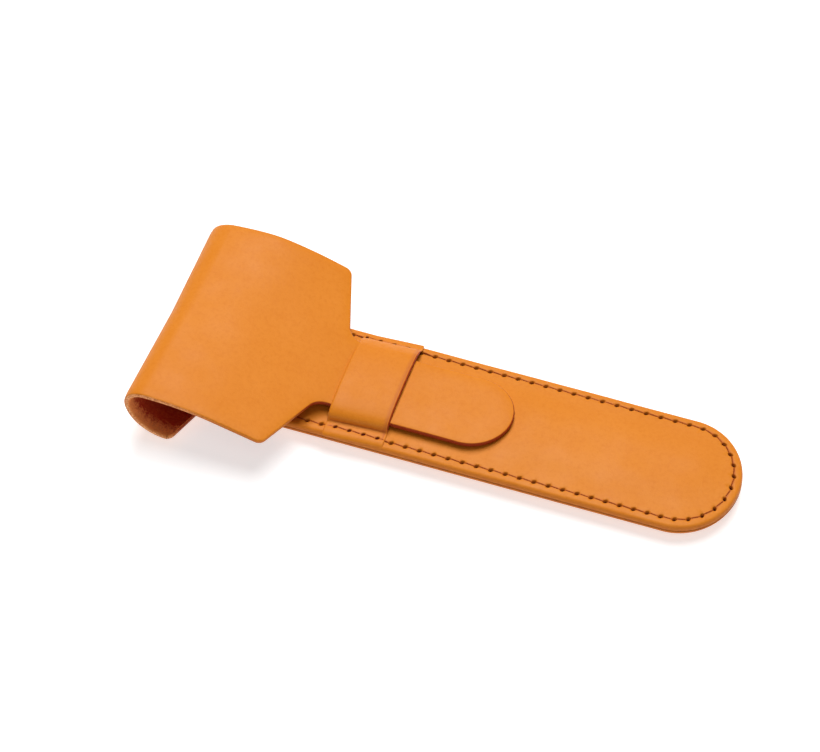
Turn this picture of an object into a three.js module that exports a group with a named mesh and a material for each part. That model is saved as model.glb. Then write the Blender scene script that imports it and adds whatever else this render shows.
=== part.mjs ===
// Fountain pen case in vegetable-tanned leather.
//
// One long hide makes the back of the sleeve, rolls round at the mouth end and comes back over the
// front as a wide flap that narrows to a tongue. A front panel is sewn to it all round the closed
// end, and a keeper strap sewn into the same seam holds the tongue down.
//
// Millimetres. +X runs to the closed, rounded end, +Z is up, and the case lies on its back at z = 0
// with the origin under the middle of its length. The rolled part is cut across into slats that hinge
// on each other, so that the flap can unroll as the leather does.

import * as THREE from "three";

// Leather
const HIDE = 1.7;                 // thickness of the long hide and of the front panel
const KEEPER_THICKNESS = 1.1;     // split leather of the keeper's bridge
const FLANGE_THICKNESS = 0.8;     // skived ends of the keeper, under the stitches
const CLEARANCE = 0.3;            // between pieces that lie on each other

// Sleeve
const TIP_X = 81.75;              // outermost point of the rounded end
const END_LENGTH = 16.75;         // length of the rounded end along X
const BLUNT_END_ANGLE = 84;       // rounded ends stop here, on a narrow flat, instead of at 90 degrees
const SLEEVE_HALF_WIDTH = 18.9;
const MOUTH_X = -53;              // open end of the front panel, under the flap
const RIM_BOTTOM = 2.7;           // underside of the hide along the sewn edge
const PANEL_RISE = 1.2;           // how far the front panel crowns over a pen
const RIM_BAND = 4.5;             // flat sewn band along the edge
const FLAT_HALF_WIDTH = 8;        // middle strip where both panels are flat again
const DISH_START_X = -57;         // the hide's dish starts to fade out here
const DISH_END_X = -68;

// Flap and tongue
const FLAP_HALF_WIDTH = 33.3;
const LOWER_CORNER_X = -70.3;
const UPPER_CORNER_X = -42;
const SHOULDER_ANGLE = 70;        // degrees from X
const CORNER_RADIUS = 2.5;
const SHOULDER_FILLET = 8;
const TONGUE_HALF_WIDTH = 12;
const TONGUE_TIP_X = 17;
const TONGUE_ROOT_X = -31.5;        // the tongue bends on its own from here

// Keeper
const KEEPER_X = [-30.4, -13.8];
const KEEPER_CREASE_Y = 14.3;
const KEEPER_SHOULDER_Y = 12.6;
const KEEPER_SHOULDER_Z = 10.45;  // underside over the tongue's edges
const KEEPER_CROWN_Z = 10.6;      // underside over the middle of the tongue

// Seam
const SEAM_INSET = 2.3;
const SEAM_START_X = -50;
const THREAD_RADIUS = 0.35;
const THREAD_SIDES = 6;
const THREAD_STEPS = 64;
const SEAM_END_STEPS = 15;        // guide points round the closed end
const KEEPER_RAMP = 3.5;          // the front thread is up at the keeper's height this far from it

// The hide's middle layer, from the closed end: { length } is straight, { radius, turn } an arc.
// A heading of 0 degrees runs to -X, 90 up and 180 back to +X.
const ROLL_START_X = -70.7;
const ROLL_TURN = 180;
const FLAP_SLOPE = 15;
const HIDE_LINE = [
  { length: TIP_X - ROLL_START_X },
  { radius: 10.15, turn: 90 },
  { radius: 4.65, turn: 60 },
  { radius: 7, turn: 30 },
  { radius: 75, turn: FLAP_SLOPE },
  { length: 25.8 },
  { radius: -20, turn: -FLAP_SLOPE },
  { length: 60 },
];
const HINGE_COUNT = 6;            // each straightens the same share of the roll
const HINGE_CUT_INNER = 0.25;     // half of each gap between slats, on the flesh side
const HINGE_CUT_OUTER = 0.5;      // and on the grain side, which closes up when the flap opens

const LEATHER_COLOUR = 0xe0904a;
const THREAD_COLOUR = 0xb8672a;

const rad = THREE.MathUtils.degToRad;
const smooth = (value) => THREE.MathUtils.smoothstep(value, 0, 1);

// ---- the hide's line ----------------------------------------------------------------------------

// Splits HIDE_LINE into stretches that know where they start, so that a place can be looked up.
function traceHide() {
  const stretches = [];
  let at = { s: 0, x: TIP_X, z: RIM_BOTTOM + HIDE / 2, heading: 0 };
  for (const { length, radius, turn = 0 } of HIDE_LINE) {
    const run = length ?? Math.abs(radius * rad(turn));
    const curvature = radius ? 1 / radius : 0;
    stretches.push({ ...at, run, curvature });
    at = { s: at.s + run, ...along(at, run, curvature) };
  }
  return stretches;
}

// The point a distance further on along one straight or arc.
function along({ x, z, heading }, distance, curvature) {
  const from = rad(heading);
  const to = from + distance * curvature;
  if (curvature === 0) {
    return { x: x - distance * Math.cos(from), z: z + distance * Math.sin(from), heading };
  }
  return {
    x: x - (Math.sin(to) - Math.sin(from)) / curvature,
    z: z + (Math.cos(from) - Math.cos(to)) / curvature,
    heading: THREE.MathUtils.radToDeg(to),
  };
}

const stretches = traceHide();
const hideLength = stretches.at(-1).s + stretches.at(-1).run;
const rollEnd = distanceAtHeading(ROLL_TURN);

function hideAt(s) {
  const stretch = stretches.findLast((each) => each.s <= s + 1e-9) ?? stretches[0];
  return along(stretch, s - stretch.s, stretch.curvature);
}

// Distance along the hide where the heading is reached inside the roll.
function distanceAtHeading(heading) {
  const stretch = stretches.findLast((each) => each.heading < heading && each.curvature > 0);
  return stretch.s + rad(heading - stretch.heading) / stretch.curvature;
}

// Distance along the hide at a given x, on the lower or on the upper layer.
function distanceAtX(x, upper) {
  let [low, high] = upper ? [rollEnd, hideLength] : [0, distanceAtHeading(ROLL_TURN / 4)];
  while (high - low > 1e-6) {
    const middle = (low + high) / 2;
    const before = upper ? hideAt(middle).x < x : hideAt(middle).x > x;
    [low, high] = before ? [middle, high] : [low, middle];
  }
  return low;
}

// ---- outlines -----------------------------------------------------------------------------------

// Half-widths from the wide flap down to a narrower part, as x going up: a rounded corner, a
// slanting shoulder and a hollow fillet.
function shoulderOutline(cornerX, narrow) {
  const half = Math.tan(rad(SHOULDER_ANGLE / 2));
  const footX = cornerX + (FLAP_HALF_WIDTH - narrow) / Math.tan(rad(SHOULDER_ANGLE));
  const corner = { x: cornerX - CORNER_RADIUS * half, y: FLAP_HALF_WIDTH - CORNER_RADIUS };
  const fillet = { x: footX + SHOULDER_FILLET * half, y: narrow + SHOULDER_FILLET };
  const points = [];
  const onArc = (centre, radius, share) => {
    const angle = rad(SHOULDER_ANGLE * share);
    return { x: centre.x + radius * Math.sin(angle), w: centre.y + radius * Math.cos(angle) };
  };
  return [
    ...[0, 0.5, 1].map((share) => onArc(corner, CORNER_RADIUS, share)),
    ...[1, 0.66, 0.33, 0].map((share) => onArc(fillet, -SHOULDER_FILLET, share)),
  ];
}

// A rounded end from its widest place out to its tip.
function roundEnd(tipX, length, halfWidth, steps) {
  return Array.from({ length: steps + 1 }, (_, i) => {
    const angle = rad((BLUNT_END_ANGLE * i) / steps);
    return {
      x: tipX - length + (length * Math.sin(angle)) / Math.sin(rad(BLUNT_END_ANGLE)),
      w: halfWidth * Math.cos(angle),
    };
  });
}

const lowerShoulder = shoulderOutline(LOWER_CORNER_X, SLEEVE_HALF_WIDTH);
const upperShoulder = shoulderOutline(UPPER_CORNER_X, TONGUE_HALF_WIDTH);
const sleeveEnd = roundEnd(TIP_X, END_LENGTH, SLEEVE_HALF_WIDTH, 8);
const tongueEnd = roundEnd(TONGUE_TIP_X, TONGUE_HALF_WIDTH, TONGUE_HALF_WIDTH, 8);

// 0 on the sewn band along the sleeve's edge, 1 over its middle.
function bulge(x, y) {
  const past = Math.max(0, x - (TIP_X - END_LENGTH)) / END_LENGTH;
  const inside = SLEEVE_HALF_WIDTH * (1 - Math.hypot(past, y / SLEEVE_HALF_WIDTH));
  const crownBand = SLEEVE_HALF_WIDTH - FLAT_HALF_WIDTH;
  return smooth((inside - RIM_BAND) / (crownBand - RIM_BAND));
}

// ---- solids -------------------------------------------------------------------------------------

// A closed sheet from rows of points on its outer and inner faces, all rows equally long.
function sheetGeometry(rows) {
  const columns = rows[0].outer.length;
  const positions = [];
  for (const { outer, inner } of rows) {
    for (const point of [...outer, ...inner]) positions.push(...point);
  }
  const outerAt = (row, column) => row * 2 * columns + column;
  const innerAt = (row, column) => outerAt(row, column) + columns;
  const faces = [];
  const quad = (a, b, c, d) => faces.push(a, b, c, a, c, d);
  for (let row = 0; row + 1 < rows.length; row++) {
    for (let column = 0; column + 1 < columns; column++) {
      quad(outerAt(row, column), outerAt(row, column + 1),
        outerAt(row + 1, column + 1), outerAt(row + 1, column));
      quad(innerAt(row, column), innerAt(row + 1, column),
        innerAt(row + 1, column + 1), innerAt(row, column + 1));
    }
    quad(outerAt(row, 0), outerAt(row + 1, 0), innerAt(row + 1, 0), innerAt(row, 0));
    const last = columns - 1;
    quad(outerAt(row, last), innerAt(row, last), innerAt(row + 1, last), outerAt(row + 1, last));
  }
  const end = rows.length - 1;
  for (let column = 0; column + 1 < columns; column++) {
    quad(outerAt(0, column), innerAt(0, column), innerAt(0, column + 1), outerAt(0, column + 1));
    quad(outerAt(end, column), outerAt(end, column + 1), innerAt(end, column + 1), innerAt(end, column));
  }
  return facingOut(positions, faces);
}

// Turns every face round if the closed surface was wound inside out.
function facingOut(positions, faces) {
  const point = (i) => new THREE.Vector3().fromArray(positions, 3 * i);
  let volume = 0;
  for (let i = 0; i < faces.length; i += 3) {
    volume += point(faces[i]).dot(point(faces[i + 1]).cross(point(faces[i + 2])));
  }
  const geometry = new THREE.BufferGeometry();
  geometry.setAttribute("position", new THREE.Float32BufferAttribute(positions, 3));
  geometry.setIndex(volume > 0 ? faces : faces.toReversed());
  geometry.computeVertexNormals();
  return geometry;
}

// Points across the hide at one place, on the grain side (+1) or the flesh side (-1).
function acrossHide(s, side, halfWidth, shares, dish) {
  const { x, z, heading } = hideAt(s);
  const offset = (side * HIDE) / 2;
  const px = x - offset * Math.sin(rad(heading));
  const pz = z - offset * Math.cos(rad(heading));
  return shares.map((share) => [px, share * halfWidth, pz + dish(px, share * halfWidth)]);
}

// A length of the hide. stations are { s, w }; cuts says how far each end is cut back on both faces.
function hidePiece(stations, { cuts = [[0, 0], [0, 0]], shares = [-1, 1], dish = () => 0 } = {}) {
  const first = stations[0].s;
  const length = stations.at(-1).s - first;
  const shortened = (s, face) => {
    const share = (s - first) / length;
    return s + cuts[0][face] * (1 - share) - cuts[1][face] * share;
  };
  return sheetGeometry(stations.map(({ s, w }) => ({
    outer: acrossHide(shortened(s, 0), 1, w, shares, dish),
    inner: acrossHide(shortened(s, 1), -1, w, shares, dish),
  })));
}

const HINGE_CUT = [HINGE_CUT_OUTER, HINGE_CUT_INNER];
const PLAIN_CUT = [CLEARANCE / 2, CLEARANCE / 2];

const hinges = Array.from({ length: HINGE_COUNT }, (_, i) => (
  distanceAtHeading((ROLL_TURN * (i + 0.5)) / HINGE_COUNT)
));
const SLOPE_WIDTH = SLEEVE_HALF_WIDTH - RIM_BAND - FLAT_HALF_WIDTH;
const HALF_SHARES = [0, 0.25, 0.5, 0.75, 1].map((share) => FLAT_HALF_WIDTH + share * SLOPE_WIDTH)
  .concat(SLEEVE_HALF_WIDTH).map((y) => y / SLEEVE_HALF_WIDTH);
const DISHED_SHARES = [...HALF_SHARES.toReversed().map((share) => -share), ...HALF_SHARES];

// The back of the sleeve, and the lower wing that widens into the roll.
function backPanel() {
  const outline = [
    ...sleeveEnd.toReversed(),
    { x: DISH_START_X + 2, w: SLEEVE_HALF_WIDTH },
    ...lowerShoulder.toReversed(),
  ];
  const stations = outline.map(({ x, w }) => ({ s: distanceAtX(x, false), w }));
  stations.push({ s: hinges[0], w: FLAP_HALF_WIDTH });
  const dish = (x, y) => {
    const fade = smooth((x - DISH_END_X) / (DISH_START_X - DISH_END_X));
    return -RIM_BOTTOM * bulge(x, y) * fade;
  };
  return hidePiece(stations, { cuts: [[0, 0], HINGE_CUT], shares: DISHED_SHARES, dish });
}

// One slat of the roll, between two hinges.
function slat(index) {
  const [from, to] = [hinges[index], hinges[index + 1]];
  const steps = Math.max(3, Math.round((to - from) / 1.5));
  const stations = Array.from({ length: steps + 1 }, (_, i) => (
    { s: from + ((to - from) * i) / steps, w: FLAP_HALF_WIDTH }
  ));
  return hidePiece(stations, { cuts: [HINGE_CUT, HINGE_CUT] });
}

// The wide flap over the mouth, down to the root of the tongue.
function flapPanel() {
  const start = hinges.at(-1);
  const curved = stretches.find(({ s }) => s >= rollEnd - 1e-6);
  const steps = 5;
  const crown = Array.from({ length: steps }, (_, i) => rollEnd + (curved.run * (i + 1)) / steps);
  const wide = [start, (start + rollEnd) / 2, rollEnd, ...crown];
  const stations = [
    ...wide.map((s) => ({ s, w: FLAP_HALF_WIDTH })),
    ...upperShoulder.filter(({ x }) => x < TONGUE_ROOT_X)
      .map(({ x, w }) => ({ s: distanceAtX(x, true), w })),
    { s: distanceAtX(TONGUE_ROOT_X, true), w: tongueWidthAtRoot() },
  ];
  return hidePiece(stations, { cuts: [HINGE_CUT, PLAIN_CUT] });
}

// The fillet has not quite run out at the root, so the width there lies between its last two points.
function tongueWidthAtRoot() {
  const after = upperShoulder.findIndex(({ x }) => x > TONGUE_ROOT_X);
  const [a, b] = [upperShoulder[after - 1], upperShoulder[after]];
  return THREE.MathUtils.mapLinear(TONGUE_ROOT_X, a.x, b.x, a.w, b.w);
}

// The tongue that slides under the keeper.
function tongue() {
  const bend = stretches.at(-1).s;
  const stations = [
    { s: distanceAtX(TONGUE_ROOT_X, true), w: tongueWidthAtRoot() },
    ...upperShoulder
      .filter(({ x }) => x > TONGUE_ROOT_X)
      .map(({ x, w }) => ({ s: distanceAtX(x, true), w })),
    { s: bend, w: TONGUE_HALF_WIDTH },
    ...tongueEnd.map(({ x, w }) => ({ s: distanceAtX(x, true), w })),
  ];
  stations.sort((a, b) => a.s - b.s);
  return hidePiece(stations, { cuts: [PLAIN_CUT, [0, 0]] });
}

// The front of the sleeve: a flat sewn band with a crown over the pens, open at the mouth.
function frontPanel() {
  const bottom = RIM_BOTTOM + HIDE + CLEARANCE;
  const rows = [{ x: MOUTH_X, w: SLEEVE_HALF_WIDTH }, ...sleeveEnd];
  return sheetGeometry(rows.map(({ x, w }) => {
    const across = (z) => DISHED_SHARES.map((share) => (
      [x, share * w, z + PANEL_RISE * bulge(x, share * w)]
    ));
    return { outer: across(bottom + HIDE), inner: across(bottom) };
  }));
}

// The keeper's section across the case: sewn flanges, steep sides and a bridge over the tongue.
function keeper() {
  const seat = RIM_BOTTOM + 2 * (HIDE + CLEARANCE);
  const under = [
    [SLEEVE_HALF_WIDTH, seat],
    [KEEPER_CREASE_Y - KEEPER_THICKNESS / 2, seat],
    [KEEPER_SHOULDER_Y, KEEPER_SHOULDER_Z],
    [KEEPER_SHOULDER_Y / 2, KEEPER_CROWN_Z],
  ];
  const over = [
    [KEEPER_SHOULDER_Y / 2, KEEPER_CROWN_Z + KEEPER_THICKNESS],
    [KEEPER_SHOULDER_Y - 1, KEEPER_SHOULDER_Z + KEEPER_THICKNESS],
    [KEEPER_SHOULDER_Y + KEEPER_THICKNESS, KEEPER_SHOULDER_Z],
    [KEEPER_CREASE_Y + KEEPER_THICKNESS / 2, seat + FLANGE_THICKNESS],
    [SLEEVE_HALF_WIDTH, seat + FLANGE_THICKNESS],
  ];
  const mirrored = (points) => points.map(([y, z]) => [-y, z]);
  const outline = [...under, ...mirrored(under.toReversed()), ...mirrored(over.toReversed()), ...over];
  const shape = new THREE.Shape(outline.map(([y, z]) => new THREE.Vector2(y, z)));
  const geometry = new THREE.ExtrudeGeometry(shape, {
    depth: KEEPER_X[1] - KEEPER_X[0],
    bevelEnabled: false,
  });
  const acrossTheCase = new THREE.Matrix4().makeBasis(
    new THREE.Vector3(0, 1, 0), new THREE.Vector3(0, 0, 1), new THREE.Vector3(1, 0, 0),
  );
  return geometry.applyMatrix4(acrossTheCase).translate(KEEPER_X[0], 0, 0);
}

// A thread that runs along one side, round the closed end and back along the other side.
// lift(x) is the height of its middle.
function seamThread(lift) {
  const y = SLEEVE_HALF_WIDTH - SEAM_INSET;
  const endX = TIP_X - END_LENGTH;
  const [left, right] = KEEPER_X;
  const side = [SEAM_START_X, left - 12, left - KEEPER_RAMP, right + KEEPER_RAMP, 0, 15, 30, 45, endX - 2];
  const points = side.map((x) => new THREE.Vector3(x, -y, lift(x)));
  for (let i = 1; i < SEAM_END_STEPS; i += 1) {
    const angle = Math.PI * (i / SEAM_END_STEPS - 1 / 2);
    const x = endX + (END_LENGTH - SEAM_INSET) * Math.cos(angle);
    points.push(new THREE.Vector3(x, y * Math.sin(angle), lift(x)));
  }
  points.push(...side.toReversed().map((x) => new THREE.Vector3(x, y, lift(x))));
  const section = new THREE.Shape(Array.from({ length: THREAD_SIDES }, (_, i) => {
    const angle = (2 * Math.PI * i) / THREAD_SIDES;
    return new THREE.Vector2(THREAD_RADIUS * Math.cos(angle), THREAD_RADIUS * Math.sin(angle));
  }));
  return new THREE.ExtrudeGeometry(section, {
    steps: THREAD_STEPS,
    extrudePath: new THREE.CatmullRomCurve3(points),
  });
}

// The front thread climbs over the keeper's flanges.
function frontSeamThread() {
  const onPanel = RIM_BOTTOM + 2 * (HIDE + CLEARANCE) + THREAD_RADIUS;
  const onKeeper = onPanel + FLANGE_THICKNESS + CLEARANCE;
  const [left, right] = KEEPER_X;
  return seamThread((x) => (x >= left - KEEPER_RAMP && x <= right + KEEPER_RAMP ? onKeeper : onPanel));
}

function backSeamThread() {
  return seamThread(() => RIM_BOTTOM - CLEARANCE - THREAD_RADIUS);
}

// ---- the case -----------------------------------------------------------------------------------

const pieces = {
  back_panel: backPanel(),
  ...Object.fromEntries(hinges.slice(1).map((_, i) => [`fold_slat_${i + 1}`, slat(i)])),
  flap_panel: flapPanel(),
  closure_tongue: tongue(),
  front_panel: frontPanel(),
  keeper_loop: keeper(),
  front_seam_thread: frontSeamThread(),
  back_seam_thread: backSeamThread(),
};

const penCase = new THREE.Group();
for (const [name, geometry] of Object.entries(pieces)) {
  const thread = name.endsWith("thread");
  const material = new THREE.MeshStandardMaterial({
    color: thread ? THREAD_COLOUR : LEATHER_COLOUR,
    roughness: thread ? 0.75 : 0.5,
    metalness: 0,
  });
  const mesh = new THREE.Mesh(geometry, material);
  mesh.name = name;
  penCase.add(mesh);
}

export default penCase;
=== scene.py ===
# Fountain pen case: one long hide rolled over a stitched sleeve, its tongue held by a keeper.
# Shapes are worked out in millimetres in the CAD frame and scaled to metres as they become meshes.

import math

import bpy
import numpy as np
from mathutils import Matrix, Vector
from mathutils.geometry import delaunay_2d_cdt


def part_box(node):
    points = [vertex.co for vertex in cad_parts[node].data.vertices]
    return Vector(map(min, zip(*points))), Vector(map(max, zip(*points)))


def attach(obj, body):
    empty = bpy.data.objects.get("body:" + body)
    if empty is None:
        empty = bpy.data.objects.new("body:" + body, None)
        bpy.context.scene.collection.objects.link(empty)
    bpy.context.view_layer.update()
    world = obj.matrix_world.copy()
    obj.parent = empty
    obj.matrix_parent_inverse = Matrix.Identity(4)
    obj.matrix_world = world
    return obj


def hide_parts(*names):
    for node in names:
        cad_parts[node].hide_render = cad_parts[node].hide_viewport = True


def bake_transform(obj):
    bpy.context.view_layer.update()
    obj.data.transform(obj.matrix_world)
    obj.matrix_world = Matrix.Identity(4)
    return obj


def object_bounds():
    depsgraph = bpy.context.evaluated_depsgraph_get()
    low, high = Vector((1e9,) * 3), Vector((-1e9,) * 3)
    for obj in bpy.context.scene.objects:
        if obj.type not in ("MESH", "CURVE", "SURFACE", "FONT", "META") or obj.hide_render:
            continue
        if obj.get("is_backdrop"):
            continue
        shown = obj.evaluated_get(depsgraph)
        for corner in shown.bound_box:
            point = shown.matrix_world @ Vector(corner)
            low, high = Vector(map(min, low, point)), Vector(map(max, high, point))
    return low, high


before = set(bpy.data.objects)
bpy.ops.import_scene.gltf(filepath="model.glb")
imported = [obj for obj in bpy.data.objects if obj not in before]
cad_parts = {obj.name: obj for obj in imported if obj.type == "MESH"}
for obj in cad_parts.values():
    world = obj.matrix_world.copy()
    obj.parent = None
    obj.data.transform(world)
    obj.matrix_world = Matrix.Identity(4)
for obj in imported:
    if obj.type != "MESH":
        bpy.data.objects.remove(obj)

cad_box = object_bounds()
MM = 0.001

# ---- sizes, millimetres --------------------------------------------------------------------------


def node_box(name):
    """Lowest and highest corner of a CAD node, in millimetres."""
    low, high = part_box(name)
    return np.array(low) / MM, np.array(high) / MM


HIDE = 1.7                                   # leather thickness
FRONT_LOW, FRONT_HIGH = node_box("front_panel")
KEEPER_LOW, KEEPER_HIGH = node_box("keeper_loop")
TONGUE_HIGH = node_box("closure_tongue")[1]
FLAP_HIGH = node_box("flap_panel")[1]
TIP_X = FRONT_HIGH[0]
MOUTH_X = FRONT_LOW[0]
SLEEVE_HALF = FRONT_HIGH[1] + 0.35
END_LENGTH = 16.75                           # rounded end, along X
END_X = TIP_X - END_LENGTH
RIM_BOTTOM = 2.7
RIM_JOIN = 4.55                              # where the two layers of the rim meet
RIM_TOP = 6.4
RIM_ROUND = 1.1                              # its rounding, inwards and down
RIM_DROP = 1.5
PANEL_RISE = 1.2
RIM_BAND = 4.5
FLAT_HALF = 8.0
DISH_X = (-68.0, -57.0)

FLAP_HALF = FLAP_HIGH[1]
LOWER_CORNER_X = -69.6
UPPER_CORNER_X = -41.75
SHOULDER_ANGLE = math.radians(70)
CORNER_RADIUS = 2.5
SHOULDER_FILLET = 5.0
TONGUE_HALF = 12.0
TONGUE_TIP_X = TONGUE_HIGH[0]

KEEPER_FLANGE = 0.45                         # thickness under the stitches
KEEPER_BRIDGE = 1.15
KEEPER_ARCH_HALF = 14.3
KEEPER_ARCH_RISE = 4.05
KEEPER_ARCH_POWER = 3.0
KEEPER_FAR_HALF = 16.2                       # its far side slopes down more gently
KEEPER_FAR_POWER = 2.2
KEEPER_SKEW = 0.06                           # sewn on a little askew
KEEPER_WIDER = 0.45                          # cut wider than its CAD solid, towards the flap
KEEPER_CORNER = 0.7
KEEPER_NEAR_DROOP = 62                       # degrees its ends bend over the rounded rim
KEEPER_FAR_DROOP = 30

STITCH_PITCH = 4.0
SEAM_Y = 16.6
SEAM_END_LENGTH = 14.3
STITCH_DRIFTS = [                            # how far stitches run ahead, where, over what length
    (1.0, 111.0, 18.0),
    (-0.8, 141.0, 9.0),
    (1.3, 152.0, 16.0),
]
STITCH_LEAD = (0.5, 185.0, 60.0)             # how far ahead the last ones end, from where, over what
SEAM_LAST_X = 62.05                          # last hole of the far row before the rounded end
HOLE_SLANT = math.radians(42)                # the pricked slits lean across the seam
HOLE_LENGTH = 0.67                           # half-length and half-width of a slit
HOLE_WIDTH = 0.47
HOLE_DEPTH = 1.3
THREAD_RADIUS = 0.17
STITCH_SINK = 0.7                            # thread dips this far into a slit
STITCH_STAND = 0.06                          # and stands this far off the leather between slits

FLAP_SKEW = 1.75                             # the flap is folded slightly off square, at its sides
CREST_LIFT = 1.5                             # its far side stands a little higher behind the roll
TONGUE_SHIFT = -0.5
TONGUE_REACH = 0.5
TONGUE_SAG = 0.3                             # its sides lie a little lower than its middle

# The hide's middle layer: a length and a turn in degrees. Heading 0 runs to -X, 180 back to +X.
ROLL_START_X = -70.7
HIDE_LINE = [
    (TIP_X - ROLL_START_X, 0),
    (math.radians(90) * 10.15, 90),
    (math.radians(60) * 4.65, 60),
    (math.radians(30) * 7, 30),
    (math.radians(15) * 75, 15),
    (25.8, 0),
    (math.radians(15) * 20, -15),
    (60.0, 0),
]
HINGE_TURN = 30                              # each joint of the roll straightens this much
ROLL_PIECES = 6

# ---- the hide's line -----------------------------------------------------------------------------


def trace_hide():
    """Start of each stretch of the hide: distance, x, z, heading and curvature."""
    rows = []
    s, x, z, heading = 0.0, TIP_X, RIM_BOTTOM + HIDE / 2, 0.0
    for length, turn in HIDE_LINE:
        curvature = math.radians(turn) / length
        rows.append((s, x, z, heading, curvature))
        after = heading + math.radians(turn)
        if curvature:
            x -= (math.sin(after) - math.sin(heading)) / curvature
            z += (math.cos(heading) - math.cos(after)) / curvature
        else:
            x -= length * math.cos(heading)
            z += length * math.sin(heading)
        s, heading = s + length, after
    return np.array(rows)


STRETCHES = trace_hide()
ROLL_START = STRETCHES[1, 0]
ROLL_END = STRETCHES[4, 0]


def hide_at(s):
    """x, z and heading of the hide's middle layer at distances s."""
    row = STRETCHES[np.clip(np.searchsorted(STRETCHES[:, 0], s, side="right") - 1, 0, None)]
    s0, x0, z0, h0, k = row.T
    d = s - s0
    h = h0 + d * k
    bent = np.abs(k) > 1e-9
    safe = np.where(bent, k, 1.0)
    x = np.where(bent, x0 - (np.sin(h) - np.sin(h0)) / safe, x0 - d * np.cos(h0))
    z = np.where(bent, z0 + (np.cos(h0) - np.cos(h)) / safe, z0 + d * np.sin(h0))
    return x, z, h


def distance_at_heading(degrees):
    """Distance along the hide where the roll has turned so far."""
    heading = math.radians(degrees)
    row = [r for r in STRETCHES if r[4] > 0 and r[3] <= heading + 1e-9][-1]
    return row[0] + (heading - row[3]) / row[4]


def distance_at_x(x, upper):
    """Distance along the lower or the upper layer of the hide at each x."""
    start, stop = (ROLL_END, STRETCHES[-1, 0] + 60) if upper else (0, ROLL_START + 8)
    s = np.linspace(start, stop, 4000)
    along = hide_at(s)[0]
    return np.interp(x, along, s) if upper else np.interp(-np.asarray(x), -along, s)


def smooth(value):
    t = np.clip(value, 0, 1)
    return t * t * (3 - 2 * t)


def bulge(x, y):
    """0 on the sewn band along the sleeve's edge, 1 over its middle."""
    past = np.maximum(0, x - END_X) / END_LENGTH
    within = SLEEVE_HALF * (1 - np.hypot(past, y / SLEEVE_HALF))
    return smooth((within - RIM_BAND) / (SLEEVE_HALF - FLAT_HALF - RIM_BAND))


def waver(a, b, size):
    """A slow, shallow unevenness, as leather has."""
    return size * (np.sin(a * 0.11 + 1.3) * np.cos(b * 0.13 + 0.4) + 0.5 * np.sin(a * 0.27 + b * 0.21))


# ---- outlines in the flat ------------------------------------------------------------------------


def arc(centre, radius, start, stop, step=0.35):
    """Points round an arc, angles in radians from +a towards +b. radius may be a pair of semi-axes."""
    ra, rb = radius if isinstance(radius, tuple) else (radius, radius)
    count = max(3, int(abs(stop - start) * max(ra, rb) / step))
    t = np.linspace(start, stop, count + 1)
    return np.stack([centre[0] + ra * np.cos(t), centre[1] + rb * np.sin(t)], 1)


def shoulder(corner_x, narrow):
    """x and half-width from the wide part to the narrow part, x going up."""
    half = math.tan(SHOULDER_ANGLE / 2)
    foot_x = corner_x + (FLAP_HALF - narrow) / math.tan(SHOULDER_ANGLE)
    corner = (corner_x - CORNER_RADIUS * half, FLAP_HALF - CORNER_RADIUS)
    fillet = (foot_x + SHOULDER_FILLET * half, narrow + SHOULDER_FILLET)
    rounded = arc(corner, CORNER_RADIUS, math.pi / 2, math.pi / 2 - SHOULDER_ANGLE, 0.25)
    hollow = arc(fillet, SHOULDER_FILLET, -math.pi / 2 - SHOULDER_ANGLE, -math.pi / 2)
    return np.concatenate([rounded, hollow])


def round_end(tip_x, length, half):
    """x and half-width round an end, from its widest place to its tip."""
    return arc((tip_x - length, 0), (length, half), math.pi / 2, 0)


def resample(points, step):
    """The same polyline with points about a step apart; short stretches keep their points."""
    out = [points[0]]
    for a, b in zip(points[:-1], points[1:]):
        count = max(1, int(round(np.linalg.norm(b - a) / step)))
        out.extend(a + (b - a) * k / count for k in range(1, count + 1))
    return np.array(out)


def mirrored(side):
    """A side from the cut to the tip, then its mirror image back to the cut."""
    return np.concatenate([side, side[-2::-1] * [1, -1]])


def normals(points, closed):
    """Unit normals to the left of a polyline's direction."""
    if closed:
        along = np.roll(points, -1, 0) - np.roll(points, 1, 0)
    else:
        along = np.gradient(points, axis=0)
    along /= np.linalg.norm(along, axis=1)[:, None]
    return np.stack([-along[:, 1], along[:, 0]], 1)


def distance_to(points, line, closed=False):
    """Shortest distance from each point to a polyline."""
    ends = np.concatenate([line, line[:1]]) if closed else line
    a, b = ends[:-1], ends[1:]
    best = np.full(len(points), np.inf)
    for p, q in zip(a, b):
        d = q - p
        t = np.clip(((points - p) @ d) / max(d @ d, 1e-12), 0, 1)
        best = np.minimum(best, np.linalg.norm(points - p - t[:, None] * d, axis=1))
    return best


# ---- sheets --------------------------------------------------------------------------------------

EDGE_STEPS = 9
SEWN_BEVEL = 0.2                             # how far the grain side falls next to an edge
FLAP_BEVEL = 0.16
CUT_STEPS = 60                               # across the hide, where two pieces of it meet
LIP = 7.0                                    # painted light with paler fuzz: the flesh side is coloured paler this close to a cut edge


def inside(points, polygon):
    """Which points lie within a polygon."""
    x, y = points.T
    hit = np.zeros(len(points), bool)
    for (x0, y0), (x1, y1) in zip(polygon, np.roll(polygon, -1, 0)):
        crosses = (y0 > y) != (y1 > y)
        where = x0 + (y - y0) * (x1 - x0) / (y1 - y0 if y1 != y0 else 1e-12)
        hit ^= crosses & (x < where)
    return hit


def triangulate(border, extra):
    """Triangles of the area within border, using the extra points too: (points, triangles)."""
    count = len(border)
    coords = [Vector(p) for p in np.concatenate([border, extra])]
    edges = [(i, (i + 1) % count) for i in range(count)]
    points, _, faces, originals, _, _ = delaunay_2d_cdt(coords, edges, [list(range(count))], 1, 1e-5)
    order = [o[0] if o else -1 for o in originals]
    return np.array([tuple(p) for p in points]), faces, order


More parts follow.
